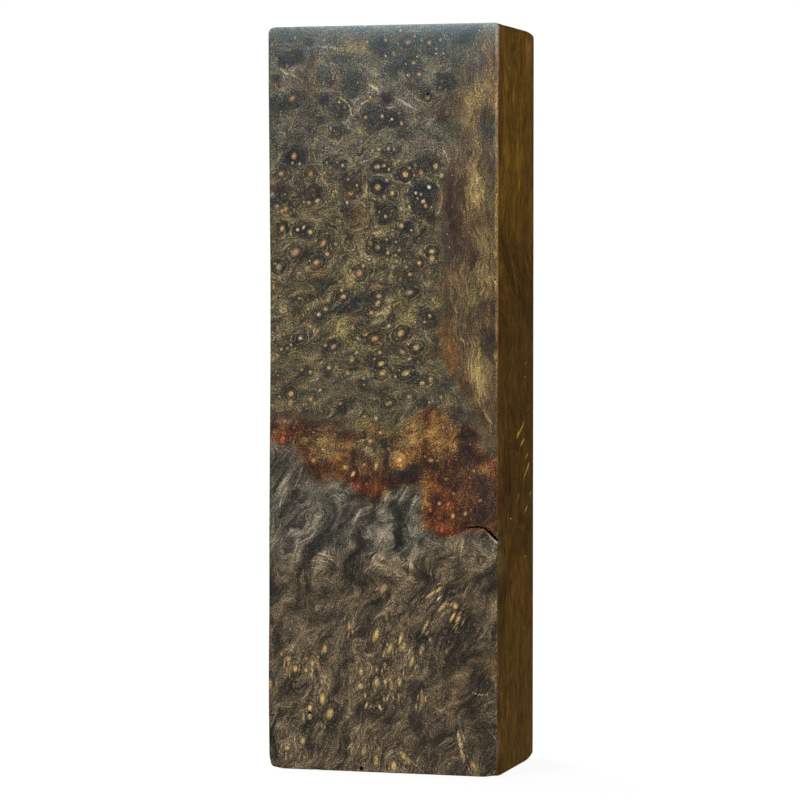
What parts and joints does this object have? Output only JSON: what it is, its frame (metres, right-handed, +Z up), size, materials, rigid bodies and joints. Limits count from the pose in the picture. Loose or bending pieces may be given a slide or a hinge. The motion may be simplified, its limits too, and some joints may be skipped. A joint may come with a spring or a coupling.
{
  "type": "stabilized amboyna burl block",
  "caption": "Sawn and sanded rectangular block of resin-stabilized burl wood, standing on its end, for cutting into handles or small turned work.",
  "frame": {"origin": "middle of the bottom end, on the surface the block stands on", "axes": "+Z up along the block's length, +X across its broad faces towards the golden edge-grain side, -Y out of the burl-figured broad face"},
  "size_m": [0.04, 0.025, 0.125],
  "materials": {
    "stabilized_burl": "sanded satin, resin-filled"
  },
  "bodies": {
    "root": {"burl_block": "stabilized_burl"}
  },
  "joints": []
}
